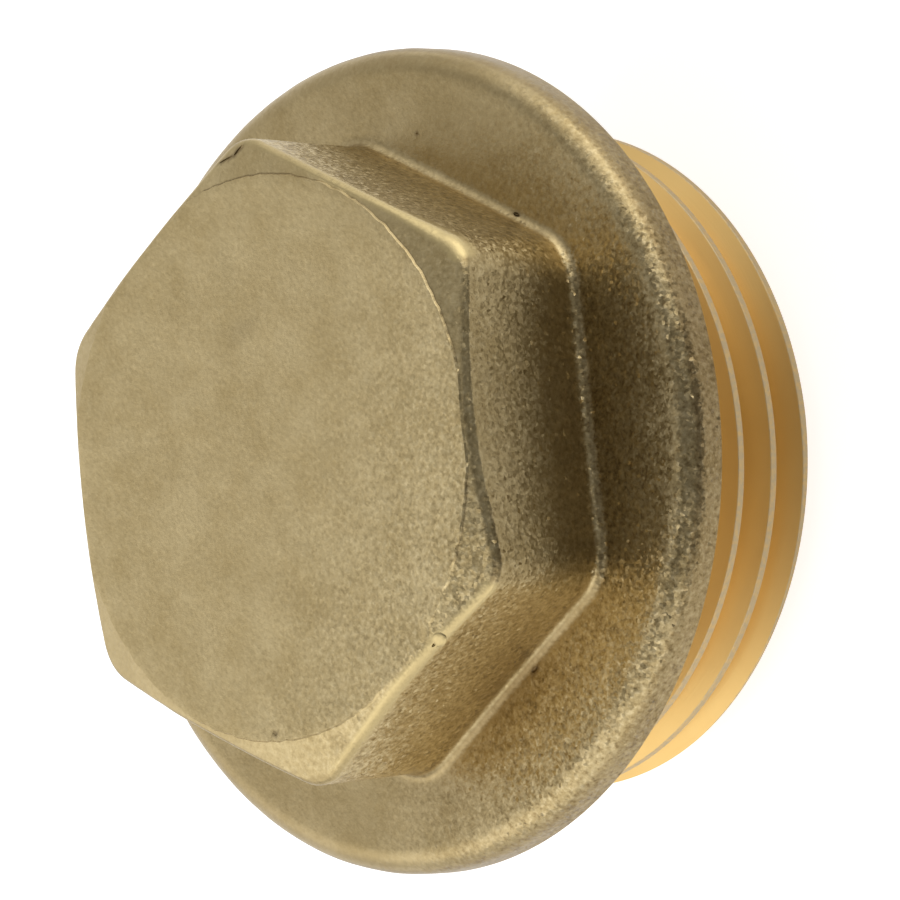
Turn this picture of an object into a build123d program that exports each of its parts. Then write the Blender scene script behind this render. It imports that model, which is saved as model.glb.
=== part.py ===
from build123d import *
import os
from math import radians, sqrt, tan

# Flanged pipe plug, one gunmetal casting: a hexagon head, a round flange and a threaded shank.
# Millimetres. It stands on its threaded end with the head up along +Z.
# The origin is the centre of the end face, and two flats of the head face along Y.

# Shank with a parallel pipe thread of size 1
thread_diameter = 33.249
thread_pitch = 2.309
thread_angle = 55.0
shank_length = 11.5

# Relief groove under the flange, a little deeper than the roots of the thread, with a flat bottom
# that a sealing washer clears and a slope of 45 degrees up to the crests
relief_width = 2.2
relief_clearance = 0.1

# Flange, which seats on the rim of the port
flange_diameter = 41.0
flange_thickness = 2.4
flange_rounding = 1.1
flange_edge_break = 0.2

# Hexagon head
across_flats = 28.0
head_height = 8.15
corner_rounding = 1.6
root_fillet = 0.45

# Crown of the head: a flat face, a small step round it and a shallow cone out to the corners
crown_step = 0.12
crown_angle = 16.0
crown_bevel = 0.25

# Hollow left by the core, open at the threaded end
wall_at_thread = 3.1
crown_thickness = 4.6
core_draft = 2.5
core_bevel = 1.5
mouth_bevel = 0.6

# Thread form, with a third of its sharp height lost in the rounded crests and roots
sharp_height = thread_pitch / (2 * tan(radians(thread_angle / 2)))
thread_depth = 2 / 3 * sharp_height
thread_radius = thread_diameter / 2
root_radius = thread_radius - thread_depth
relief_radius = root_radius - relief_clearance
relief_slope = thread_radius - relief_radius

# Levels up the axis
seat_z = shank_length
flange_z = seat_z + flange_thickness
face_z = flange_z + head_height
core_z = face_z - crown_thickness

# Radii of the flange, the corners of the head and the flat face, which stops short of the bevelled flats
flange_radius = flange_diameter / 2
face_radius = across_flats / 2 - crown_bevel
corner_radius = across_flats / sqrt(3)
cone_top_z = face_z - crown_step
cone_foot_z = cone_top_z - (corner_radius - face_radius) * tan(radians(crown_angle))

# Radii of the drafted core
mouth_radius = root_radius - wall_at_thread
core_radius = mouth_radius - core_z * tan(radians(core_draft))

# Shank and flange, turned as one section, with the shank at the crests of the thread
with BuildPart() as body:
    with BuildSketch(Plane.XZ):
        with BuildLine():
            outer_side = Polyline(
                (0, 0),
                (root_radius, 0),
                (thread_radius, thread_depth),
                (thread_radius, seat_z - relief_width - relief_slope),
                (relief_radius, seat_z - relief_width),
                (relief_radius, seat_z),
                (flange_radius - flange_edge_break, seat_z),
                (flange_radius, seat_z + flange_edge_break),
                (flange_radius, flange_z - flange_rounding),
            )
            flange_corner = JernArc(outer_side @ 1, (0, 1), flange_rounding, 90)
            Polyline(flange_corner @ 1, (0, flange_z), (0, 0))
        make_face()
    revolve(axis=Axis.Z)

# Hexagon head, its corners turned off by the crown and bevelled all round
with BuildPart() as head:
    with BuildSketch(Plane.XY.offset(seat_z)):
        hexagon = RegularPolygon(across_flats / 2, 6, major_radius=False)
        fillet(hexagon.vertices(), corner_rounding)
    extrude(amount=cone_top_z - seat_z)
    with BuildSketch(Plane.XZ):
        Polygon(
            (0, seat_z),
            (corner_radius, seat_z),
            (corner_radius, cone_foot_z),
            (face_radius, cone_top_z),
            (0, cone_top_z),
            align=None,
        )
    revolve(axis=Axis.Z, mode=Mode.INTERSECT)
    cone_edges = head.faces().filter_by(GeomType.CONE)[0].edges()
    outer_edges = cone_edges.filter_by(lambda edge: edge.geom_type not in (GeomType.CIRCLE, GeomType.LINE))
    chamfer(outer_edges, crown_bevel)
    with BuildSketch(Plane.XY.offset(cone_top_z)):
        Circle(face_radius)
    extrude(amount=crown_step)

# One casting, with a small fillet where the head stands on the flange
with BuildPart() as plug:
    add(body.part)
    add(head.part)
    top_of_flange = plug.faces().filter_by(Axis.Z).sort_by(Axis.Z)[-2]
    fillet(top_of_flange.inner_wires()[0].edges(), root_fillet)

    # Drafted hollow, bevelled at its mouth and at its blind end
    with BuildSketch(Plane.XZ):
        core_section = Polygon(
            (0, 0),
            (mouth_radius + mouth_bevel, 0),
            (mouth_radius, mouth_bevel),
            (core_radius, core_z),
            (0, core_z),
            align=None,
        )
        blind_corner = core_section.vertices().group_by(Axis.Y)[-1].sort_by(Axis.X)[-1]
        chamfer(blind_corner, core_bevel)
    revolve(axis=Axis.Z, mode=Mode.SUBTRACT)

plug.part.label = "flanged_plug"
os.makedirs("parts", exist_ok=True)
export_step(plug.part, "parts/flanged_plug.step")
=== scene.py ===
"""Looks of a flanged pipe plug: a cast gunmetal head and flange, a turned thread and a plain studio."""

import logging
import math
from dataclasses import dataclass, field
from enum import Enum
from typing import Any, Callable, NamedTuple

import bmesh
import bpy
from mathutils import Euler, Matrix, Vector, noise


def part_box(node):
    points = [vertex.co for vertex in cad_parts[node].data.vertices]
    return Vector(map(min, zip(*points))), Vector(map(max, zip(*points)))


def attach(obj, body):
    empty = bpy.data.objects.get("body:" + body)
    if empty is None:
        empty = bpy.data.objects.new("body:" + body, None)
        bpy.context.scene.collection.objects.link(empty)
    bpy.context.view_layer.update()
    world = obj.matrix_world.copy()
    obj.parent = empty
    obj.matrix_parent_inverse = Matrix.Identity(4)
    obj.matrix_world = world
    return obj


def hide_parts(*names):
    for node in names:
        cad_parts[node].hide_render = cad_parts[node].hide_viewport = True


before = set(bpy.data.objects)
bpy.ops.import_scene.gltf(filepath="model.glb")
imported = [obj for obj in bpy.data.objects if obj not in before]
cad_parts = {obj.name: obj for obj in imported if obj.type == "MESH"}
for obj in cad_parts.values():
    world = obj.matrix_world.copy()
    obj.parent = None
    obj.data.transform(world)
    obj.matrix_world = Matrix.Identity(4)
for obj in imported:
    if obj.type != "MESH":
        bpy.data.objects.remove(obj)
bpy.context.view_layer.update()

LOG = logging.getLogger("flanged_plug")
MM = 0.001
NODE = "flanged_plug"
BODY = "root"
COLUMNS = 360
TOUCHING_MM = 0.001

Section = list[tuple[float, float]]
RingPlace = Callable[[float], tuple[float, float]]
Piece = bpy.types.Object
Socket = bpy.types.NodeSocket
Tree = bpy.types.NodeTree


class Spot(NamedTuple):
    """A place on the plug: azimuth in radians, radius and height in millimetres."""

    azimuth: float
    radius: float
    height: float

    @property
    def turn(self) -> float:
        """Azimuth in degrees."""
        return math.degrees(self.azimuth)

    @property
    def point(self) -> Vector:
        """The place as a point."""
        x, y = self.radius * math.cos(self.azimuth), self.radius * math.sin(self.azimuth)
        return Vector((x, y, self.height))


class Trace(Enum):
    """Traces of use and casting, and painted shade, that the mesh carries for its finish."""

    WEAR = "edge_wear"
    STAIN_AND_SHADE = "brown_stain"
    PAINTED_SHADE = "dull_skin"
    GRAIN = "grain_strength"


class Surface(Enum):
    """How a stretch of the plug was made, in the order of its material slots."""

    CAST = 0
    TURNED = 1


def linear(hex_colour: str) -> tuple[float, float, float, float]:
    """Turns an sRGB hex colour to a linear one.

    Args:
        hex_colour: Six hex digits, as in "AA9870".

    Returns:
        Linear red, green, blue and an alpha of 1.
    """
    channels = [int(hex_colour[i:i + 2], 16) / 255 for i in (0, 2, 4)]
    red, green, blue = (c / 12.92 if c <= 0.04045 else ((c + 0.055) / 1.055) ** 2.4 for c in channels)
    return red, green, blue, 1.0


def add_node(tree: Tree, kind: str, settings: dict[str, Any] | None = None,
             inputs: dict[str | int, Any] | None = None) -> bpy.types.Node:
    """Adds one shader node with its settings, and sets or links its inputs.

    Args:
        tree: The node tree that gets the node.
        kind: Blender's name for the node's type, less the ShaderNode that it starts with.
        settings: Properties of the node by name.
        inputs: Values or output sockets by the name or number of the input.

    Returns:
        The new node.
    """
    node = tree.nodes.new("ShaderNode" + kind)
    for name, value in (settings or {}).items():
        setattr(node, name, value)
    for key, value in (inputs or {}).items():
        if isinstance(value, Socket):
            tree.links.new(value, node.inputs[key])
        else:
            node.inputs[key].default_value = value
    return node


def in_millimetres(tree: Tree) -> Socket:
    """Gives the place on the piece in millimetres."""
    place = add_node(tree, "TexCoord").outputs["Object"]
    scaled = add_node(tree, "Mapping", {}, {"Vector": place, "Scale": (1 / MM,) * 3})
    return scaled.outputs["Vector"]


def cloud(tree: Tree, place: Socket, size_mm: float, detail: float, roughness: float = 0.5,
          dimensions: str = "3D") -> Socket:
    """Adds a soft random pattern with features of a size, and finer layers on them, and gives its value."""
    inputs = {"Vector": place, "Scale": 1 / size_mm, "Detail": detail, "Roughness": roughness}
    return add_node(tree, "TexNoise", {"noise_dimensions": dimensions}, inputs).outputs["Fac"]


def trace_value(tree: Tree, trace: Trace) -> Socket:
    """Reads a trace that the mesh carries."""
    return add_node(tree, "Attribute", {"attribute_name": trace.value}).outputs["Fac"]


def remap(tree: Tree, value: Socket, source: tuple[Any, Any], target: tuple[Any, Any],
          kind: str = "LINEAR") -> Socket:
    """Maps a value from a source range to a target range, whose ends are numbers or sockets."""
    ends = dict(zip(("From Min", "From Max", "To Min", "To Max"), (*source, *target)))
    settings = {"interpolation_type": kind}
    return add_node(tree, "MapRange", settings, {"Value": value, **ends}).outputs["Result"]


def blend(tree: Tree, share: Socket, under: Any, over: Any, kind: str = "MIX") -> Socket:
    """Lays a share of one colour over another and gives the blended colour."""
    settings = {"data_type": "RGBA", "blend_type": kind}
    return add_node(tree, "Mix", settings, {"Factor": share, 6: under, 7: over}).outputs[2]


def vector(tree: Tree, operation: str, inputs: dict[str | int, Any]) -> Socket:
    """Adds one step of vector arithmetic and gives its vector."""
    return add_node(tree, "VectorMath", {"operation": operation}, inputs).outputs["Vector"]


def number(tree: Tree, operation: str, inputs: dict[str | int, Any]) -> Socket:
    """Adds one step of arithmetic and gives its value."""
    return add_node(tree, "Math", {"operation": operation}, inputs).outputs["Value"]


def new_tree(owner: bpy.types.Material | bpy.types.World) -> Tree:
    """Gives a material or a world an empty node tree."""
    owner.use_nodes = True
    owner.node_tree.nodes.clear()
    return owner.node_tree


def clamp(value: float, low: float = 0.0, high: float = 1.0) -> float:
    """Keeps a value between two limits."""
    return min(high, max(low, value))


def polar(vertex: bmesh.types.BMVert | bpy.types.MeshVertex) -> Spot:
    """Gives a vertex's place on the plug."""
    x, y, z = vertex.co / MM
    return Spot(math.atan2(y, x), math.hypot(x, y), z)


def arc(centre: tuple[float, float], radius: float, start: float, end: float, steps: int) -> Section:
    """Samples an arc of a section between two angles in degrees, from straight outwards towards up."""
    angles = [math.radians(start + (end - start) * i / steps) for i in range(steps + 1)]
    return [(centre[0] + radius * math.cos(a), centre[1] + radius * math.sin(a)) for a in angles]


def spaced(start: tuple[float, float], end: tuple[float, float], steps: int) -> Section:
    """Divides a straight run of a section evenly, and leaves out its first point."""
    return [(start[0] + (end[0] - start[0]) * i / steps, start[1] + (end[1] - start[1]) * i / steps)
            for i in range(1, steps + 1)]


def near(azimuth: float, centre: float, spread: float) -> float:
    """Tells how near an azimuth in radians is to a centre in degrees, from 0, far away, to 1, on it."""
    aside = (math.degrees(azimuth) - centre + 180) % 360 - 180
    return math.exp(-(aside / spread) ** 2)


def choose(piece: Piece) -> None:
    """Selects one object alone and makes it the active one."""
    bpy.ops.object.select_all(action="DESELECT")
    piece.select_set(True)
    bpy.context.view_layer.objects.active = piece


class Workpiece:
    """One mesh in the making, drawn as a section and then shaped in edit mode."""

    def __init__(self, name: str, section: Section, azimuth: float = 0.0) -> None:
        """Draws a section from a single vertex, one extruded vertex after another.

        Args:
            name: Name of the piece.
            section: Radii and heights in millimetres.
            azimuth: Azimuth of the section's plane in radians.
        """
        out = Vector((math.cos(azimuth), math.sin(azimuth), 0))
        points = [(out * r + Vector((0, 0, z))) * MM for r, z in section]
        bpy.ops.object.select_all(action="DESELECT")
        bpy.ops.mesh.primitive_plane_add(size=MM, location=points[0])
        self.piece = bpy.context.active_object
        self.piece.name = name
        self.piece.data.name = name
        bpy.ops.object.transform_apply(location=True, rotation=True, scale=True)
        bpy.ops.object.mode_set(mode="EDIT")
        bpy.ops.mesh.select_mode(type="VERT")
        bpy.ops.mesh.select_all(action="SELECT")
        bpy.ops.mesh.merge(type="CENTER")
        for here, there in zip(points, points[1:]):
            bpy.ops.mesh.extrude_vertices_move(TRANSFORM_OT_translate={"value": there - here})

    def spin(self) -> None:
        """Turns the section once round the plug's axis and closes the seam and the poles."""
        bpy.ops.mesh.select_all(action="SELECT")
        bpy.ops.mesh.spin(steps=COLUMNS, angle=math.tau, center=(0, 0, 0), axis=(0, 0, 1))
        self.merge_doubles()

    def merge_doubles(self) -> None:
        """Merges vertices that touch."""
        bpy.ops.mesh.select_all(action="SELECT")
        bpy.ops.mesh.remove_doubles(threshold=TOUCHING_MM * MM)

    def select(self, wanted: Callable[[bmesh.types.BMVert], bool]) -> None:
        """Selects the vertices that a test wants, with the edges and faces between them.

        Args:
            wanted: The test of one vertex.
        """
        mesh = bmesh.from_edit_mesh(self.piece.data)
        for part in (*mesh.faces, *mesh.edges, *mesh.verts):
            part.select = False
        for vertex in mesh.verts:
            vertex.select = wanted(vertex)
        mesh.select_flush(True)
        bmesh.update_edit_mesh(self.piece.data)

    def place(self, where: RingPlace) -> None:
        """Sets each selected vertex to the radius and height that belong to its azimuth.

        Args:
            where: Gives radius and height in millimetres for an azimuth in radians.
        """
        mesh = bmesh.from_edit_mesh(self.piece.data)
        for vertex in mesh.verts:
            if vertex.select:
                azimuth = math.atan2(vertex.co.y, vertex.co.x)
                vertex.co = Spot(azimuth, *where(azimuth)).point * MM
        bmesh.update_edit_mesh(self.piece.data)

    def draw_ring(self, where: RingPlace) -> None:
        """Extrudes the selected loop and places the new one."""
        bpy.ops.mesh.extrude_edges_move()
        self.place(where)

    def close(self) -> None:
        """Gathers the selected loop in one point and turns all faces outwards."""
        bpy.ops.mesh.merge(type="CENTER")
        self.merge_doubles()
        bpy.ops.mesh.select_all(action="SELECT")
        bpy.ops.mesh.normals_make_consistent(inside=False)

    def object_mode(self) -> Piece:
        """Leaves edit mode and gives the object."""
        if bpy.context.mode == "EDIT_MESH":
            bpy.ops.object.mode_set(mode="OBJECT")
        return self.piece

    def apply(self, kind: str, settings: dict[str, Any]) -> None:
        """Adds a modifier with its settings and applies it.

        Args:
            kind: Blender's name for the modifier's type.
            settings: Properties of the modifier by name.
        """
        self.object_mode()
        choose(self.piece)
        modifier = self.piece.modifiers.new(kind.lower(), kind)
        for name, value in settings.items():
            setattr(modifier, name, value)
        bpy.ops.object.modifier_apply(modifier=modifier.name)


@dataclass(frozen=True)
class CastGunmetal:
    """As-cast gunmetal, shot-blasted: a tan metal skin of fine dimples, duller in the pits than on peaks."""

    name: str = "gunmetal_cast_shot_blasted"
    skin: str = "C6B387"
    shade: str = "AF9A6C"
    peak: str = "D8C69A"
    pit: str = "907C54"
    worn: str = "C8B482"
    # brown of the smears' real stains, also laid as painted shade in the pits and at the step's foot
    stain_and_shade: str = "4E3A22"
    # grey multiplied into the skin as painted shade
    darker_tone: str = "BCB4AC"
    tones: tuple[float, float] = (0.2, 0.8)
    tone_range: tuple[float, float] = (0.35, 0.65)
    peak_range: tuple[float, float] = (0.48, 0.68)
    pit_range: tuple[float, float] = (0.5, 0.3)
    grain_mm: float = 0.28
    facet_mm: float = 0.16
    facet_lean: float = 0.14
    sparkle: float = 2.2
    sparkle_share: float = 0.05
    sparkle_fade: float = 1.2
    patch_mm: float = 3.2
    relief_mm: float = 0.02
    roughness: float = 0.36
    worn_roughness: float = 0.36
    worn_lean: float = 0.2

    def build(self) -> bpy.types.Material:
        """Makes the material.

        Returns:
            The finished material.
        """
        material = bpy.data.materials.new(self.name)
        tree = new_tree(material)
        place = in_millimetres(tree)
        grain = cloud(tree, place, self.grain_mm, 3.0, 0.65)
        wear = trace_value(tree, Trace.WEAR)
        shader = add_node(tree, "BsdfPrincipled", {}, {
            "Base Color": self.colour(tree, place, grain, wear),
            "Metallic": 1.0,
            "Roughness": remap(tree, wear, (0.0, 1.0), (self.roughness, self.worn_roughness)),
            "Normal": self.normal(tree, place, grain, wear),
        })
        add_node(tree, "OutputMaterial", {}, {"Surface": shader.outputs["BSDF"]})
        return material

    def colour(self, tree: Tree, place: Socket, grain: Socket, wear: Socket) -> Socket:
        """Lays the tones of the skin over one another, from broad patches to worn edges, with painted shade
        darkening some stretches, and stains with painted shade in the pits.

        Args:
            tree: The material's node tree.
            place: Place on the piece in millimetres.
            grain: Height of the grain.
            wear: How far a place is rubbed bright.

        Returns:
            The skin's colour.
        """
        strength = trace_value(tree, Trace.GRAIN)
        tone = remap(tree, cloud(tree, place, self.patch_mm, 4.0, 0.62), self.tone_range, self.tones)
        peaks = remap(tree, grain, self.peak_range, (0.0, strength), "SMOOTHSTEP")
        pits = remap(tree, grain, self.pit_range, (0.0, strength), "SMOOTHSTEP")
        colour = blend(tree, tone, linear(self.shade), linear(self.skin))
        colour = blend(tree, peaks, colour, linear(self.peak))
        colour = blend(tree, pits, colour, linear(self.pit))
        # painted shade: darkens the flange, its rim, the head's foot and the flat that faces the camera
        colour = blend(tree, trace_value(tree, Trace.PAINTED_SHADE), colour, linear(self.darker_tone), "MULTIPLY")
        # brown: real stains on the smears, painted shade in the pits, nicks and crack and at the step's foot
        colour = blend(tree, trace_value(tree, Trace.STAIN_AND_SHADE), colour, linear(self.stain_and_shade))
        return blend(tree, wear, colour, linear(self.worn))

    def normal(self, tree: Tree, place: Socket, grain: Socket, wear: Socket) -> Socket:
        """Leans the small facets of the blasted skin, a few of them so far that they glint.

        Args:
            tree: The material's node tree.
            place: Place on the piece in millimetres.
            grain: Height of the grain.
            wear: How far a place is rubbed smooth.

        Returns:
            The normal.
        """
        facets = add_node(tree, "TexVoronoi", {"feature": "F1"}, {
            "Vector": place, "Scale": 1 / self.facet_mm}).outputs["Color"]
        bump = add_node(tree, "Bump", {}, {
            "Height": grain, "Strength": 1.0, "Distance": self.relief_mm * MM}).outputs["Normal"]
        lean = vector(tree, "MULTIPLY_ADD", {
            0: facets, 1: (2 * self.facet_lean,) * 3, 2: (-self.facet_lean,) * 3})
        left = remap(tree, wear, (0.0, 1.0), (trace_value(tree, Trace.GRAIN), self.worn_lean))
        chance = add_node(tree, "SeparateColor", {}, {"Color": facets}).outputs["Red"]
        few = (1 - self.sparkle_fade * self.sparkle_share, 1 - self.sparkle_share)
        glints = remap(tree, chance, few, (1.0, self.sparkle))
        lean = vector(tree, "SCALE", {0: lean, "Scale": left})
        lean = vector(tree, "SCALE", {0: lean, "Scale": glints})
        return vector(tree, "NORMALIZE", {0: vector(tree, "ADD", {0: bump, 1: lean})})


@dataclass(frozen=True)
class TurnedGunmetal:
    """Gunmetal cut on a lathe: satin golden metal with fine tool lines, greyer on the flats of the crests."""

    name: str = "gunmetal_turned"
    metal: str = "E2C180"
    darker_tone: str = "DBB672"
    crest: str = "CBB894"
    tool_line_mm: float = 0.09
    patch_mm: float = 4.0
    dot_mm: float = 0.3
    dot_range: tuple[float, float] = (0.3, 0.6)
    dot_shares: tuple[float, float] = (0.4, 1.0)
    relief_mm: float = 0.003
    roughness: float = 0.42
    crest_roughness: float = 0.6
    crest_radius_mm: float = 16.6245
    crest_band_mm: float = 0.05

    def build(self) -> bpy.types.Material:
        """Makes the material.

        Returns:
            The finished material.
        """
        material = bpy.data.materials.new(self.name)
        tree = new_tree(material)
        place = in_millimetres(tree)
        height = add_node(tree, "SeparateXYZ", {}, {"Vector": place}).outputs["Z"]
        across = vector(tree, "MULTIPLY", {0: place, 1: (1, 1, 0)})
        radius = add_node(tree, "VectorMath", {"operation": "LENGTH"}, {0: across}).outputs["Value"]
        section = add_node(tree, "CombineXYZ", {}, {"X": radius, "Y": height}).outputs["Vector"]
        lines = cloud(tree, section, self.tool_line_mm, 2.0, dimensions="2D")
        bump = add_node(tree, "Bump", {}, {
            "Height": lines, "Strength": 1.0, "Distance": self.relief_mm * MM}).outputs["Normal"]
        golden = blend(tree, cloud(tree, place, self.patch_mm, 2.0), linear(self.darker_tone), linear(self.metal))
        greyed = remap(tree, cloud(tree, place, self.dot_mm, 1.0), self.dot_range, self.dot_shares)
        band = (self.crest_radius_mm - self.crest_band_mm, self.crest_radius_mm - self.crest_band_mm / 2)
        on_crest = remap(tree, radius, band, (0.0, greyed))
        shader = add_node(tree, "BsdfPrincipled", {}, {
            "Base Color": blend(tree, on_crest, golden, linear(self.crest)),
            "Metallic": 1.0,
            "Roughness": remap(tree, on_crest, (0.0, 1.0), (self.roughness, self.crest_roughness)),
            "Normal": bump,
        })
        add_node(tree, "OutputMaterial", {}, {"Surface": shader.outputs["BSDF"]})
        return material


class MarkKind(Enum):
    """What a mark does to the skin: a pit is cut out, a pip stands up and a smear only stains."""

    PIT = "pit"
    PIP = "pip"
    SMEAR = "smear"


@dataclass(frozen=True)
class Mark:
    """A small mark that casting and knocks left: an ellipsoid on the skin, in millimetres."""

    kind: MarkKind
    place: tuple[float, float, float]
    radii: tuple[float, float, float]
    turn: float = 0.0
    # how far the mark darkens: a real stain on a smear, painted shade in a pit
    stain_and_shade: float = 0.0
    rub: float = 0.0
    tilt: float = 0.0
    reach: float = 1.6
    fade: float = 0.5

    @property
    def pose(self) -> Euler:
        """How the mark is turned and tilted."""
        return Euler((math.radians(self.tilt), 0.0, math.radians(self.turn)))

    def body(self) -> Piece:
        """Models the ellipsoid.

        Returns:
            A closed body that is cut from the casting or added to it.
        """
        bpy.ops.object.select_all(action="DESELECT")
        bpy.ops.mesh.primitive_ico_sphere_add(
            subdivisions=3, radius=MM, location=Vector(self.place) * MM, rotation=self.pose, scale=self.radii)
        bpy.ops.object.transform_apply(location=True, rotation=True, scale=True)
        return bpy.context.active_object

    def covers(self, point: Vector) -> float:
        """Tells how far the mark covers a point.

        Args:
            point: The point in millimetres.

        Returns:
            From 0, well beside it, to 1, on it.
        """
        offset = point - Vector(self.place)
        if offset.length > self.reach * max(self.radii):
            return 0.0
        beside = self.pose.to_matrix().transposed() @ offset
        away = Vector(b / r for b, r in zip(beside, self.radii)).length
        return clamp((self.reach - away) / self.fade)


class Blemish(Enum):
    """The marks that the photo shows."""

    CORNER_CRACK = Mark(MarkKind.PIT, (8.71, -12.52, 21.78), (0.5, 0.05, 0.1), turn=40.7, stain_and_shade=0.55)
    CORNER_CHIP = Mark(MarkKind.PIT, (8.11, -13.23, 21.74), (0.42, 0.07, 0.12), turn=62.7, stain_and_shade=0.65)
    UPPER_FILLET_NICK = Mark(MarkKind.PIT, (-3.81, -14.42, 13.98), (0.22, 0.09, 0.16), stain_and_shade=0.6)
    LOWER_FILLET_NICK = Mark(MarkKind.PIT, (-13.05, 5.8, 13.98), (0.3, 0.12, 0.12), turn=60.0, stain_and_shade=0.75)
    FLANGE_PIT = Mark(MarkKind.PIT, (4.2, -15.71, 13.93), (0.09, 0.07, 0.06), turn=20.0, stain_and_shade=0.5)
    FACE_PIT = Mark(MarkKind.PIT, (-5.1, 12.34, 22.05), (0.15, 0.08, 0.05), stain_and_shade=0.5)
    EDGE_NICK = Mark(MarkKind.PIT, (-13.5, 4.2, 21.78), (0.15, 0.06, 0.09), turn=60.0, stain_and_shade=0.6)
    EDGE_PIP = Mark(MarkKind.PIP, (-13.667, 3.854, 21.71), (0.44, 0.36, 0.09), turn=236.0, rub=0.8, tilt=30.0)
    FACE_SMEAR = Mark(MarkKind.SMEAR, (4.3, -5.05, 22.05), (1.0, 0.36, 0.4), turn=43.0, stain_and_shade=0.12)
    CORNER_SMEAR = Mark(MarkKind.SMEAR, (-9.24, 11.19, 21.68), (0.6, 0.4, 0.5), stain_and_shade=0.12)


@dataclass
class Thread:
    """Parallel pipe thread of size 1, cut in the shank by a helical groove, sizes in millimetres."""

    diameter: float = 33.249
    pitch: float = 2.309
    angle: float = 55.0
    rounding_share: float = 0.137329
    crest_rounding: float = 0.06
    crest_turn: float = 3.0
    crest_height: float = 6.22
    crest_azimuth: float = -158.7
    clearance: float = 0.3
    turns: int = 5
    steps: int = 200
    crest_steps: int = 5
    root_steps: int = 8
    start_height: float = -1.5

    @property
    def radius(self) -> float:
        """Radius over the crests."""
        return self.diameter / 2

    @property
    def depth(self) -> float:
        """Depth of the form, which loses a third of its sharp height to rounding."""
        return self.pitch / (2 * math.tan(math.radians(self.angle / 2))) * 2 / 3

    @property
    def root_radius(self) -> float:
        """Radius at the roots."""
        return self.radius - self.depth

    def groove(self) -> Section:
        """Draws the groove between two crests, from below: rounded shoulders, flanks and a round root.

        Returns:
            A closed outline about height 0, its first point repeated at the end.
        """
        rounding = self.rounding_share * self.pitch
        outside = self.radius + self.clearance
        flank = 90 - self.angle / 2
        lean = math.radians(self.angle / 2)
        half_width = (self.depth - rounding) * math.tan(lean) + rounding / math.cos(lean)
        shoulder = half_width + self.crest_rounding * math.tan(math.radians(flank / 2))
        inside = self.radius - self.crest_rounding
        below = arc((inside, -shoulder), self.crest_rounding, self.crest_turn, flank, self.crest_steps)
        root = arc((self.root_radius + rounding, 0), rounding, 180 + flank, 180 - flank, self.root_steps)
        above = arc((inside, shoulder), self.crest_rounding, -flank, -self.crest_turn, self.crest_steps)
        start = (outside, below[0][1])
        return [start, *below, *root, *above, (outside, above[-1][1]), start]

    def cutter(self) -> Piece:
        """Winds the groove's outline up the axis, right-handed, and caps its ends.

        Returns:
            A closed helical body that is taken from the shank.
        """
        groove_height = self.crest_height - self.pitch / 2
        turn = math.tau * (groove_height - self.start_height) / self.pitch
        azimuth = (math.radians(self.crest_azimuth) - turn) % math.tau
        outline = [(r, z + self.start_height) for r, z in self.groove()]
        work = Workpiece("thread_groove", outline, azimuth)
        work.merge_doubles()
        work.apply("SCREW", {
            "axis": "Z", "angle": math.tau, "screw_offset": self.pitch * MM, "iterations": self.turns,
            "steps": self.steps, "render_steps": self.steps, "use_merge_vertices": False})
        bpy.ops.object.mode_set(mode="EDIT")
        work.merge_doubles()
        bpy.ops.mesh.select_all(action="DESELECT")
        bpy.ops.mesh.select_non_manifold()
        bpy.ops.mesh.fill_holes(sides=0)
        bpy.ops.mesh.select_all(action="SELECT")
        bpy.ops.mesh.normals_make_consistent(inside=False)
        return work.object_mode()


@dataclass
class Shank:
    """The turned shank with its end face, chamfer, crests, relief groove and hollow, in millimetres."""

    thread: Thread
    length: float = 11.5
    relief_width: float = 2.2
    relief_clearance: float = 0.1
    wall: float = 3.1
    crown_thickness: float = 4.6
    core_draft: float = 2.5
    core_rounding: float = 2.5
    mouth_bevel: float = 0.6
    floor_steps: int = 12
    corner_steps: int = 8
    wall_steps: int = 20

    @property
    def mouth_radius(self) -> float:
        """Radius of the hollow at its mouth."""
        return self.thread.root_radius - self.wall

    def section(self, face_height: float) -> Section:
        """Draws the hollow and the shank from the hollow's blind centre to the seat.

        Args:
            face_height: Height of the head's face.

        Returns:
            Radii and heights.
        """
        core_height = face_height - self.crown_thickness
        core_radius = self.mouth_radius - core_height * math.tan(math.radians(self.core_draft))
        relief_radius = self.thread.root_radius - self.relief_clearance
        slope = self.thread.radius - relief_radius
        centre = (core_radius - self.core_rounding, core_height - self.core_rounding)
        corner = arc(centre, self.core_rounding, 90, 0, self.corner_steps)
        mouth = (self.mouth_radius, self.mouth_bevel)
        blind = (0.0, core_height)
        points = [blind, *spaced(blind, corner[0], self.floor_steps), *corner[1:]]
        points += spaced(corner[-1], mouth, self.wall_steps)
        points += [
            (self.mouth_radius + self.mouth_bevel, 0.0),
            (self.thread.root_radius, 0.0),
            (self.thread.radius, self.thread.depth),
            (self.thread.radius, self.length - self.relief_width - slope),
            (relief_radius, self.length - self.relief_width),
            (relief_radius, self.length),
        ]
        return points


@dataclass
class Flange:
    """The round flange with its rounded rim, in millimetres."""

    radius: float
    seat_height: float
    thickness: float = 2.4
    rounding: float = 1.28
    edge_break: float = 0.2
    side_steps: int = 4
    rim_steps: int = 10

    @property
    def top(self) -> float:
        """Height of the flange's upper side."""
        return self.seat_height + self.thickness

    @property
    def flat_radius(self) -> float:
        """Radius at which the upper side starts to round off."""
        return self.radius - self.rounding

    def section(self) -> Section:
        """Draws the flange from the seat's outer edge to the start of its flat upper side."""
        lower = (self.radius, self.seat_height + self.edge_break)
        rim = arc((self.flat_radius, self.top - self.rounding), self.rounding, 0, 90, self.rim_steps)
        side = spaced(lower, rim[0], self.side_steps)
        return [(self.radius - self.edge_break, self.seat_height), lower, *side, *rim[1:]]


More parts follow.
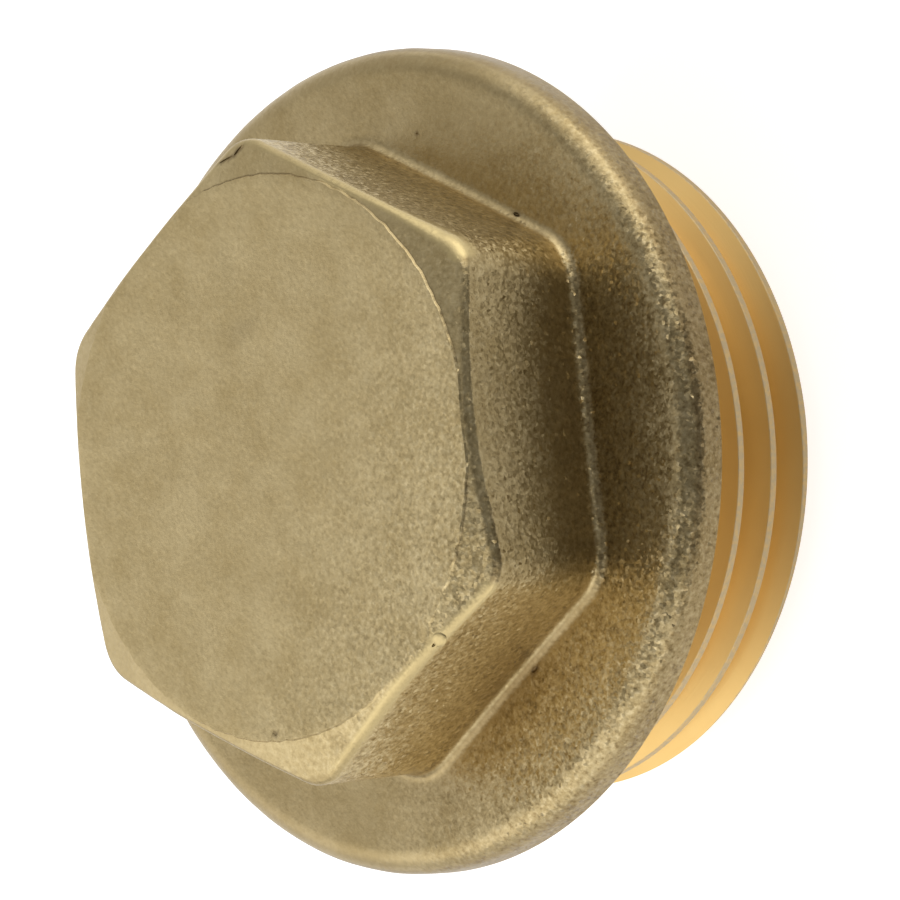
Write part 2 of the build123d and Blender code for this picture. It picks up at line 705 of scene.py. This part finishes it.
class Stretch(Enum):
    """A stretch round the plug: its azimuth and spread in degrees, and what it adds there."""

    def at(self, azimuth: float) -> float:
        """Gives what the stretch adds at an azimuth in radians."""
        centre, spread, amount = self.value
        return amount * near(azimuth, centre, spread)


class Knock(Stretch):
    """Knocks on the crown's edge, which add to its radius in millimetres."""

    RIGHT_EDGE = (-150.0, 25.0, 0.12)
    RIGHT_CORNER = (-170.0, 16.0, 0.14)
    LOWER_EDGE = (148.0, 22.0, 0.14)


@dataclass
class HexHead:
    """The hexagon head and its crown, in millimetres."""

    foot: float
    top: float
    across_flats: float = 28.0
    corner_rounding: float = 2.3
    foot_corner_rounding: float = 3.0
    root_fillet: float = 0.52
    turn: float = 1.0
    foot_shift: float = 0.1
    foot_squeeze: float = 0.25
    foot_bulge: float = 0.1
    crown_stretch: float = 0.28
    crown_dent: float = 0.34
    dented: float = -150.0
    dent_spread: float = 24.0
    crown_step: float = 0.12
    worn_step: float = 156.0
    worn_spread: float = 13.0
    crown_angle: float = 16.0
    crown_rounding: float = 0.36
    knocked_rounding: float = 0.4
    knock_from: float = -98.0
    knock_rise: float = 16.0
    knock_to: float = -123.0
    knock_fall: float = 4.0
    face_radius: float = 13.92
    face_shift: float = 0.42
    face_lip: float = 0.02
    spared_corner: float = -60.0
    spared_reach: float = 1.0
    spared_share: float = 0.4
    step_slope: float = 0.07
    face_inset: float = 0.05
    shade_line_width: float = 0.07
    widest_shade_line: float = 0.1
    least_cone: float = 0.01
    edge_margin: float = 0.05
    side_margin: float = 0.1
    ragged: float = 0.1
    ragged_rate: float = 22.0
    side_rows: int = 26
    edge_rows: int = 8
    cone_rows: int = 8
    flange_rows: int = 14
    fillet_rows: int = 6
    face_rings: int = 26

    def outline(self, azimuth: float, offset: float = 0.0, level: float = 1.0) -> float:
        """Gives the radius of the rounded hexagon, which the mould left a little uneven and turned.

        Args:
            azimuth: Azimuth in radians.
            offset: How far the outline is moved outwards.
            level: From 0 at the head's foot to 1 at its crown.

        Returns:
            Radius in millimetres.
        """
        rounding = self.foot_corner_rounding + (self.corner_rounding - self.foot_corner_rounding) * level
        foot = self.foot_shift * math.cos(azimuth) - self.foot_squeeze * math.cos(azimuth) ** 2
        foot += self.foot_bulge * max(0.0, -math.sin(azimuth))
        crown = self.crown_stretch * math.sin(azimuth) ** 2
        crown -= self.crown_dent * near(azimuth, self.dented, self.dent_spread)
        shift = foot * (1 - level) + crown * level
        sector = math.pi / 3
        turn = abs(((azimuth - math.radians(self.turn)) % sector) - sector / 2)
        half = self.across_flats / 2
        run = (half - rounding) * math.tan(sector / 2)
        if turn <= math.atan2(run, half + offset):
            return (half + offset) / math.cos(turn) + shift
        centre = (half - rounding) / math.cos(sector / 2)
        beside = sector / 2 - turn
        reach = rounding + offset
        return centre * math.cos(beside) + math.sqrt(reach ** 2 - (centre * math.sin(beside)) ** 2) + shift

    def level(self, height: float) -> float:
        """Share of the way up from the head's foot to its crown."""
        return clamp((height - self.foot) / (self.top - self.foot))

    def is_side(self, spot: Spot) -> bool:
        """Tells the head's flats from its crown and from the flange.

        Args:
            spot: A place on the skin.

        Returns:
            Whether the place is on a flat.
        """
        end = self.rounded_edge(spot.azimuth, 0.0)[1] + self.edge_margin
        if not self.foot + self.root_fillet < spot.height < end:
            return False
        return spot.radius > self.outline(spot.azimuth, -self.side_margin, self.level(spot.height))

    def face_edge(self, azimuth: float) -> float:
        """Radius of the raised face, which was turned a little off the hexagon's centre."""
        return self.face_radius + self.face_shift * math.cos(azimuth)

    def cone(self, azimuth: float, radius: float) -> float:
        """Gives the height of the crown's cone, which falls less at the corner that was spared.

        Args:
            azimuth: Azimuth in radians.
            radius: Radius in millimetres.

        Returns:
            Height in millimetres.
        """
        fall = (radius - self.face_edge(azimuth)) * math.tan(math.radians(self.crown_angle))
        step = self.crown_step * (1 - near(azimuth, self.worn_step, self.worn_spread))
        aside = azimuth - math.radians(self.spared_corner)
        spared = max(0.0, math.cos(2 * aside)) if abs(aside) < self.spared_reach else 0.0
        fall *= 1 - self.spared_share * spared
        return min(self.top - self.face_lip, self.top - step - fall)

    def edge_rounding(self, azimuth: float) -> float:
        """Gives the radius of the crown's outer edge, which grows where the corners took knocks.

        Args:
            azimuth: Azimuth in radians.

        Returns:
            Radius in millimetres.
        """
        turn = math.degrees(azimuth)
        rise = clamp((self.knock_from - turn) / self.knock_rise)
        end = clamp((turn - self.knock_to) / self.knock_fall)
        knocks = sum(knock.at(azimuth) for knock in Knock)
        return self.crown_rounding + self.knocked_rounding * rise * rise * end + knocks

    def raise_from(self, work: Workpiece, flange: Flange) -> None:
        """Raises the head from the selected loop on the flange, ring by ring, and closes its face.

        Args:
            work: The mesh, with the loop at the flange's flat radius selected.
            flange: The flange that carries the head.
        """
        for row in range(1, self.flange_rows + 1):
            share = row / self.flange_rows
            work.draw_ring(lambda a, s=share: (
                (1 - s) * flange.flat_radius + s * self.outline(a, self.root_fillet, 0.0), self.foot))
        for step in range(1, self.fillet_rows + 1):
            turn = math.radians(90 * step / self.fillet_rows)
            work.draw_ring(lambda a, t=turn: (
                self.outline(a, self.root_fillet * (1 - math.sin(t)), 0.0),
                self.foot + self.root_fillet * (1 - math.cos(t))))
        low = self.foot + self.root_fillet
        for row in range(1, self.side_rows + 1):
            share = row / self.side_rows
            work.draw_ring(lambda a, s=share: (
                self.outline(a, 0.0, s), low + s * (self.rounded_edge(a, 0.0)[1] - low)))
        for step in range(1, self.edge_rows + 1):
            work.draw_ring(lambda a, s=step / self.edge_rows: self.rounded_edge(a, s))
        for row in range(1, self.cone_rows):
            work.draw_ring(lambda a, s=row / self.cone_rows: self.on_cone(a, s))
        # a ring close to the step's foot, which holds the painted shade line there
        work.draw_ring(lambda a: self.on_cone(a, 1.0 - self.shade_line_share(a)))
        work.draw_ring(lambda a: self.on_cone(a, 1.0))
        work.draw_ring(lambda a: (self.on_cone(a, 1.0)[0] - self.step_slope, self.top - self.face_lip / 4))
        for ring in range(self.face_rings):
            work.draw_ring(lambda a, s=1 - ring / self.face_rings: (
                s * (self.on_cone(a, 1.0)[0] - self.step_slope - self.face_inset), self.top))
        work.close()

    def rounded_edge(self, azimuth: float, share: float) -> tuple[float, float]:
        """Places a point of the rounded edge between a flat and the cone.

        Args:
            azimuth: Azimuth in radians.
            share: From 0 at the flat to 1 at the cone.

        Returns:
            Radius and height.
        """
        turned = math.radians(90 - self.crown_angle)
        rounding = self.edge_rounding(azimuth)
        inset = rounding * (1 - math.cos(turned * share))
        below = rounding * (math.tan(turned / 2) - math.sin(turned * share))
        height = self.cone(azimuth, self.outline(azimuth)) - below
        return self.outline(azimuth, -inset), min(height, self.top - self.face_lip / 2)

    def shade_line_share(self, azimuth: float) -> float:
        """Share of the cone's width that the painted shade line at the foot of the step takes."""
        width = self.rounded_edge(azimuth, 1.0)[0] - self.on_cone(azimuth, 1.0)[0]
        return min(self.widest_shade_line, self.shade_line_width / width)

    def step_radius(self, azimuth: float) -> float:
        """Radius of the raised face's edge, a little ragged."""
        around = Vector((math.cos(azimuth), math.sin(azimuth), 0)) * self.ragged_rate
        return self.face_edge(azimuth) + self.ragged * noise.noise(around)

    def on_cone(self, azimuth: float, share: float) -> tuple[float, float]:
        """Places a point of the cone between the rounded edge and the raised face.

        Args:
            azimuth: Azimuth in radians.
            share: From 0 at the rounded edge to 1 at the raised face.

        Returns:
            Radius and height.
        """
        outer, height = self.rounded_edge(azimuth, 1.0)
        inner = min(self.step_radius(azimuth), outer - self.least_cone)
        inner_height = max(height, self.cone(azimuth, inner))
        return outer + (inner - outer) * share, height + (inner_height - height) * share


class PaintedShade(Stretch):
    """Stretches of the flange with painted shade: its rim, and round the foot of the head."""

    RIM = (-142.0, 22.0, 0.25)
    LOWER_FOOT = (150.0, 26.0, 0.65)
    RIGHT_FOOT = (-150.0, 24.0, 0.3)


class Grain(Enum):
    """How strongly the grain shows on the flats and on the fillet, from 0, smooth, to 1."""

    RIGHT_FLAT = 0.55
    UPPER_FLAT = 1.0
    LOWER_FLAT = 0.75
    HIDDEN_FLAT = 0.35
    RIGHT_FILLET = 0.9
    FILLET = 0.3


@dataclass
class Skin:
    """What casting, stains and use left on the skin, and the shade painted on it, with places in degrees and
    sizes in millimetres.
    """

    head: HexHead
    flange: Flange
    right_from: float = -119.0
    upper_from: float = -60.0
    lower_from: float = 116.0
    flat_painted_shade: float = 0.2
    flat_shade_from: float = -118.0
    flat_shade_rise: float = 6.0
    flange_painted_shade: float = 0.33
    rim_painted_shade: float = 0.65
    rim_width: float = 0.2
    foot_offset: float = 0.1
    foot_width: float = 4.0
    fillet_margin: float = 0.05
    fillet_rise: float = 0.01
    crown_rise: float = 1.0
    front: float = 10.0
    face_grain: float = 0.52
    face_grain_run: float = 24.0
    flange_grain: float = 0.72
    flange_grain_run: float = 20.0
    smooth_from: float = 6.0
    smooth_run: float = 36.0
    least_grain: float = 0.16
    most_face_grain: float = 0.7
    most_flange_grain: float = 0.85
    step_painted_shade: float = 0.45
    step_shade_to: float = -48.0
    step_reach: float = 0.02
    step_rise: float = 0.06
    narrow_cone: float = 0.15
    knock_from: float = -96.0
    knock_rise: float = 18.0
    knock_to: float = -122.0
    knock_fall: float = 3.0
    knock_sink: float = 0.3
    knock_reach: float = 0.1
    upper_edge: tuple[float, float] = (-121.0, -58.0)
    upper_rub: float = 0.45
    upper_rub_from: float = -70.0
    upper_rub_rise: float = 35.0
    lower_rub: float = 0.8
    lower_rub_rise: float = 20.0
    rub_share: float = 0.8
    rub_fade: float = 0.12

    def trace(self, piece: Piece) -> None:
        """Marks worn edges, stains, painted shade and grain on the mesh.

        Args:
            piece: The plug.
        """
        tests = {
            Trace.WEAR: self.rubbed,
            Trace.STAIN_AND_SHADE: self.darkened_share,
            Trace.PAINTED_SHADE: self.painted_shade_share,
            Trace.GRAIN: self.grained,
        }
        spots = [polar(vertex) for vertex in piece.data.vertices]
        for trace, test in tests.items():
            attribute = piece.data.attributes.new(trace.value, "FLOAT", "POINT")
            attribute.data.foreach_set("value", [test(spot) for spot in spots])

    def painted_shade_share(self, spot: Spot) -> float:
        """Tells how much painted shade darkens the skin: on the flange, most at its rim and round the head's
        foot, and on the flat that faces the camera.

        Args:
            spot: A place on the skin.

        Returns:
            From 0, no painted shade, to 1.
        """
        if self.head.is_side(spot):
            return self.flat_painted_shade * clamp((self.flat_shade_from - spot.turn) / self.flat_shade_rise)
        # painted shade on the flange's rim
        if spot.radius > self.flange.radius - self.rim_width:
            return self.rim_painted_shade + PaintedShade.RIM.at(spot.azimuth)
        beyond = spot.radius - self.head.outline(spot.azimuth, self.foot_offset, 0.0)
        if beyond <= 0 and spot.height >= self.flange.top:
            return 0.0
        # painted shade round the head's foot, where the flange meets the head
        feet = PaintedShade.LOWER_FOOT.at(spot.azimuth) + PaintedShade.RIGHT_FOOT.at(spot.azimuth)
        return self.flange_painted_shade + feet * clamp(1 - beyond / self.foot_width)

    def flat_grain(self, turn: float) -> Grain:
        """Tells which grain a flat has, by its azimuth in degrees.

        Args:
            turn: Azimuth in degrees.

        Returns:
            The flat's grain, least where the camera can't see it.
        """
        if turn < self.right_from:
            return Grain.RIGHT_FLAT
        if turn < self.upper_from:
            return Grain.UPPER_FLAT
        return Grain.LOWER_FLAT if turn > self.lower_from else Grain.HIDDEN_FLAT

    def grained(self, spot: Spot) -> float:
        """Tells how strongly the grain shows: most on the near side, least on the far side.

        Args:
            spot: A place on the skin.

        Returns:
            From 0, smooth, to 1.
        """
        head, foot = self.head, self.flange.top
        if head.is_side(spot):
            return self.flat_grain(spot.turn).value
        on_fillet = spot.radius < head.outline(spot.azimuth, head.root_fillet + self.fillet_margin, 0.0)
        if on_fillet and spot.height < foot + head.root_fillet + self.fillet_rise:
            return (Grain.RIGHT_FILLET if spot.turn < self.right_from else Grain.FILLET).value
        ahead = -spot.point.x - self.front
        if spot.height > foot + self.crown_rise:
            grain = self.face_grain + ahead / self.face_grain_run
            return clamp(grain, self.least_grain, self.most_face_grain)
        smoother = max(0.0, spot.point.y - self.smooth_from) / self.smooth_run
        grain = self.flange_grain + ahead / self.flange_grain_run - smoother
        return clamp(grain, self.least_grain, self.most_flange_grain)

    def darkened_share(self, spot: Spot) -> float:
        """Tells how far a place is darkened brown: real stains on the smears, and painted shade in the pits,
        nicks and crack and along the foot of the raised face.

        Args:
            spot: A place on the skin.

        Returns:
            From 0, not darkened, to 1.
        """
        point = spot.point
        marks = max(blemish.value.stain_and_shade * blemish.value.covers(point) for blemish in Blemish)
        foot, step_height = self.head.on_cone(spot.azimuth, 1.0)
        wide = self.head.rounded_edge(spot.azimuth, 1.0)[0] - foot > self.narrow_cone
        beside = abs(spot.radius - foot) < self.step_reach
        level = abs(spot.height - step_height) < self.step_rise
        # a painted shade line along the foot of the raised face's step
        in_step_shade = wide and beside and level and spot.turn < self.step_shade_to
        return max(marks, self.step_painted_shade) if in_step_shade else marks

    def edge_rub(self, turn: float) -> float:
        """Tells how far the crown's edge is rubbed bright over two of the flats.

        Args:
            turn: Azimuth in degrees.

        Returns:
            From 0, as cast, to 1.
        """
        if self.upper_edge[0] < turn < self.upper_edge[1]:
            more = clamp((self.upper_rub_from - turn) / self.upper_rub_rise)
            return self.upper_rub + (1 - self.upper_rub) * more
        return self.lower_rub * clamp((turn - self.lower_from) / self.lower_rub_rise)

    def rubbed(self, spot: Spot) -> float:
        """Tells how far a place is rubbed bright, on the crown's edge or on a mark.

        Args:
            spot: A place on the skin.

        Returns:
            From 0, as cast, to 1, bare metal.
        """
        edge = self.head.outline(spot.azimuth)
        knocked = clamp((self.knock_from - spot.turn) / self.knock_rise)
        knocked *= clamp((spot.turn - self.knock_to) / self.knock_fall)
        centre = self.head.cone(spot.azimuth, edge) - self.knock_sink * knocked
        away = math.hypot(spot.radius - edge, spot.height - centre)
        reach = self.head.edge_rounding(spot.azimuth) * self.rub_share + self.knock_reach * knocked
        share = self.edge_rub(spot.turn) * clamp((reach + self.rub_fade - away) / self.rub_fade)
        point = spot.point
        return max(share, *(blemish.value.rub * blemish.value.covers(point) for blemish in Blemish))


@dataclass
class FlangedPlug:
    """The whole plug, one casting with a thread turned on it."""

    name: str = "plug_casting"
    wave_mm: float = 2.4
    wave_height_mm: float = 0.05
    sharp_angle: float = 38.0
    hollow_margin: float = 0.1
    seat_margin: float = 0.05
    cast: CastGunmetal = field(default_factory=CastGunmetal)
    turned: TurnedGunmetal = field(default_factory=TurnedGunmetal)

    def __post_init__(self) -> None:
        """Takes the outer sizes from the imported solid."""
        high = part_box(NODE)[1]
        self.thread = Thread()
        self.shank = Shank(self.thread)
        self.flange = Flange(radius=high[0] / MM, seat_height=self.shank.length)
        self.head = HexHead(foot=self.flange.top, top=high[2] / MM)

    def build(self) -> Piece:
        """Models the plug and dresses it.

        Returns:
            The finished piece.
        """
        work = Workpiece(self.name, self.shank.section(self.head.top) + self.flange.section())
        work.spin()
        loop = Spot(0.0, self.flange.flat_radius, self.flange.top)
        work.select(lambda v: math.dist(polar(v)[1:], loop[1:]) < TOUCHING_MM)
        self.head.raise_from(work, self.flange)
        piece = work.object_mode()
        self.roughen(work)
        self.blemish(work)
        self.cut_thread(work)
        Skin(self.head, self.flange).trace(piece)
        self.dress(piece)
        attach(piece, BODY)
        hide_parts(NODE)
        return piece

    def is_cast(self, radius: float, height: float) -> bool:
        """Tells a cast place, above the seat or in the hollow, from a turned one."""
        above = height > self.flange.seat_height + self.flange.edge_break
        return above or radius < self.shank.mouth_radius + self.hollow_margin

    def roughen(self, work: Workpiece) -> None:
        """Gives the cast skin its low waves, and leaves the turned faces true.

        Args:
            work: The mesh in the making.
        """
        piece = work.piece
        skin = piece.vertex_groups.new(name="cast_skin")
        spots = [polar(vertex) for vertex in piece.data.vertices]
        chosen = [index for index, spot in enumerate(spots)
                  if self.is_cast(spot.radius, spot.height - self.seat_margin)]
        skin.add(chosen, 1.0, "REPLACE")
        waves = bpy.data.textures.new("cast_waves", "CLOUDS")
        waves.noise_scale = self.wave_mm * MM
        waves.noise_depth = 3
        work.apply("DISPLACE", {
            "texture": waves, "texture_coords": "LOCAL", "direction": "NORMAL", "mid_level": 0.5,
            "strength": self.wave_height_mm * MM, "vertex_group": skin.name})

    def cut_thread(self, work: Workpiece) -> None:
        """Takes the helical groove from the shank.

        Args:
            work: The mesh in the making.
        """
        cutter = self.thread.cutter()
        work.apply("BOOLEAN", {"operation": "DIFFERENCE", "solver": "EXACT", "object": cutter})
        bpy.data.objects.remove(cutter, do_unlink=True)

    @staticmethod
    def blemish(work: Workpiece) -> None:
        """Cuts the pits into the casting and adds the pip.

        Args:
            work: The mesh in the making.
        """
        for kind, operation in ((MarkKind.PIT, "DIFFERENCE"), (MarkKind.PIP, "UNION")):
            bodies = [blemish.value.body() for blemish in Blemish if blemish.value.kind is kind]
            for body in bodies:
                work.apply("BOOLEAN", {"operation": operation, "solver": "EXACT", "object": body})
                bpy.data.objects.remove(body, do_unlink=True)

    def dress(self, piece: Piece) -> None:
        """Gives each face its finish and shades the plug smooth.

        Args:
            piece: The plug.
        """
        piece.data.materials.clear()
        for finish in (self.cast, self.turned):
            piece.data.materials.append(finish.build())
        for polygon in piece.data.polygons:
            radius = math.hypot(polygon.center.x, polygon.center.y) / MM
            cast = self.is_cast(radius, polygon.center.z / MM)
            polygon.material_index = (Surface.CAST if cast else Surface.TURNED).value
        choose(piece)
        bpy.ops.object.shade_smooth_by_angle(angle=math.radians(self.sharp_angle))


class Panel(Enum):
    """The pale panels round the plug: azimuth and elevation in degrees, and how bright they are."""

    UPPER_WALL = (-90.0, 8.0, 2.3)
    BACK_WALL = (0.0, 8.0, 0.75)
    BACK_CORNER = (45.0, 8.0, 0.65)
    LOWER_WALL = (140.0, 8.0, 1.6)
    LOWER_CORNER = (165.0, 15.0, 0.45)
    TOP_SKY = (-20.0, 65.0, 0.12)
    UPPER_SKY = (-58.0, 30.0, 0.95)
    BACK_SKY = (45.0, 38.0, 0.75)
    LOWER_SKY = (94.0, 42.0, 1.75)


@dataclass
class Studio:
    """Plain studio: a white floor, a pale surround that is dim on one side, and the camera."""

    floor_size: float = 2.4
    floor_front: float = 0.05
    floor_gap: float = 0.00002
    floor_corner: float = 0.3
    floor_segments: int = 8
    floor_colour: str = "CBCBCB"
    floor_glow: float = 0.75
    floor_shine: float = 0.4
    sun_azimuth: float = 50.0
    sun_elevation: float = 40.0
    sun_angle: float = 25.0
    sun_strength: float = 1.9
    panel_focus: float = 8.0
    target: tuple[float, float, float] = (-0.598, -0.827, 10.634)
    azimuth: float = -158.784
    elevation: float = 44.712
    roll: float = -89.813
    distance: float = 422.53
    lens: float = 339.73
    clip_end: float = 10.0

    @staticmethod
    def towards(azimuth: float, elevation: float) -> Vector:
        """Gives the unit vector at an azimuth and elevation in degrees."""
        a, e = math.radians(azimuth), math.radians(elevation)
        return Vector((math.cos(e) * math.cos(a), math.cos(e) * math.sin(a), math.sin(e)))

    def build(self) -> None:
        """Makes the floor, the light and the camera."""
        self.lay_floor()
        self.light()
        self.light_floor()
        self.aim_camera()
        bpy.context.scene.view_settings.view_transform = "Standard"

    def lay_floor(self) -> None:
        """Lays a white sheet with rounded corners under the plug; its near edge ends in front of the plug."""
        bpy.ops.object.select_all(action="DESELECT")
        back = self.towards(self.azimuth, 0.0) * (self.floor_front - self.floor_size / 2)
        back.z = -self.floor_gap
        turned = (0, 0, math.radians(self.azimuth))
        bpy.ops.mesh.primitive_plane_add(size=self.floor_size, location=back, rotation=turned)
        floor = bpy.context.active_object
        floor.name = "studio_floor"
        bpy.ops.object.mode_set(mode="EDIT")
        bpy.ops.mesh.bevel(offset=self.floor_corner, segments=self.floor_segments, affect="VERTICES")
        bpy.ops.object.mode_set(mode="OBJECT")
        floor.data.materials.append(self.paper())

    def paper(self) -> bpy.types.Material:
        """Makes matt white paper, which looks white to the camera and paler than it is in the metal.

        Returns:
            The finished material.
        """
        material = bpy.data.materials.new("white_paper")
        tree = new_tree(material)
        path = add_node(tree, "LightPath").outputs
        mirrored = number(tree, "MAXIMUM", {0: path["Is Glossy Ray"], 1: path["Is Transmission Ray"]})
        shine = number(tree, "MULTIPLY", {0: mirrored, 1: self.floor_shine})
        glow = number(tree, "MULTIPLY_ADD", {0: path["Is Camera Ray"], 1: self.floor_glow, 2: shine})
        matt = add_node(tree, "BsdfDiffuse", {}, {"Color": linear(self.floor_colour)})
        white = add_node(tree, "Emission", {}, {"Color": (1, 1, 1, 1), "Strength": glow})
        both = add_node(tree, "AddShader", {}, {
            0: matt.outputs["BSDF"], 1: white.outputs["Emission"]})
        add_node(tree, "OutputMaterial", {}, {"Surface": both.outputs["Shader"]})
        return material

    def light(self) -> None:
        """Surrounds the plug with soft panels and leaves the side of the camera dim."""
        world = bpy.data.worlds.new("pale_panels")
        bpy.context.scene.world = world
        tree = new_tree(world)
        direction = add_node(tree, "TexCoord").outputs["Generated"]
        level: Any = 0.0
        for panel in Panel:
            azimuth, elevation, strength = panel.value
            facing = add_node(tree, "VectorMath", {"operation": "DOT_PRODUCT"}, {
                0: direction, 1: self.towards(azimuth, elevation)}).outputs["Value"]
            aside = number(tree, "MULTIPLY_ADD", {0: facing, 1: self.panel_focus, 2: -self.panel_focus})
            soft = number(tree, "EXPONENT", {0: aside})
            level = number(tree, "MULTIPLY_ADD", {0: soft, 1: strength, 2: level})
        lit = add_node(tree, "Background", {}, {"Color": (1, 1, 1, 1), "Strength": level})
        white = add_node(tree, "Background", {}, {"Color": (1, 1, 1, 1), "Strength": 1.0})
        camera_ray = add_node(tree, "LightPath").outputs["Is Camera Ray"]
        mixed = add_node(tree, "MixShader", {}, {
            0: camera_ray, 1: lit.outputs["Background"], 2: white.outputs["Background"]})
        add_node(tree, "OutputWorld", {}, {"Surface": mixed.outputs["Shader"]})

    def light_floor(self) -> None:
        """Lights the paper from behind, so that the plug's soft shadow falls towards the camera."""
        data = bpy.data.lights.new("floor_light", "SUN")
        data.energy = self.sun_strength
        data.angle = math.radians(self.sun_angle)
        lamp = bpy.data.objects.new("floor_light", data)
        bpy.context.scene.collection.objects.link(lamp)
        behind = self.towards(self.sun_azimuth, self.sun_elevation)
        lamp.rotation_euler = behind.to_track_quat("Z", "Y").to_euler()
        lamp.visible_glossy = False

    def aim_camera(self) -> None:
        """Sets the camera up, turned so that the head points to the left of the picture."""
        back = self.towards(self.azimuth, self.elevation)
        level = (-back).cross(Vector((0, 0, 1))).normalized()
        upright = level.cross(-back)
        roll = math.radians(self.roll)
        right = level * math.cos(roll) + upright * math.sin(roll)
        up = upright * math.cos(roll) - level * math.sin(roll)
        data = bpy.data.cameras.new("camera")
        data.lens = self.lens
        data.clip_end = self.clip_end
        camera = bpy.data.objects.new("camera", data)
        bpy.context.scene.collection.objects.link(camera)
        place = Vector(self.target) * MM + back * self.distance * MM
        camera.matrix_world = Matrix.Translation(place) @ Matrix((right, up, back)).transposed().to_4x4()
        bpy.context.scene.camera = camera


def main() -> None:
    """Builds the plug and the studio, and reports each piece."""
    logging.basicConfig(level=logging.INFO, format="%(name)s: %(message)s")
    piece = FlangedPlug().build()
    LOG.info("%s: %d faces", piece.name, len(piece.data.polygons))
    Studio().build()
    LOG.info("studio: floor, surround and camera")


if __name__ == "__main__":
    main()
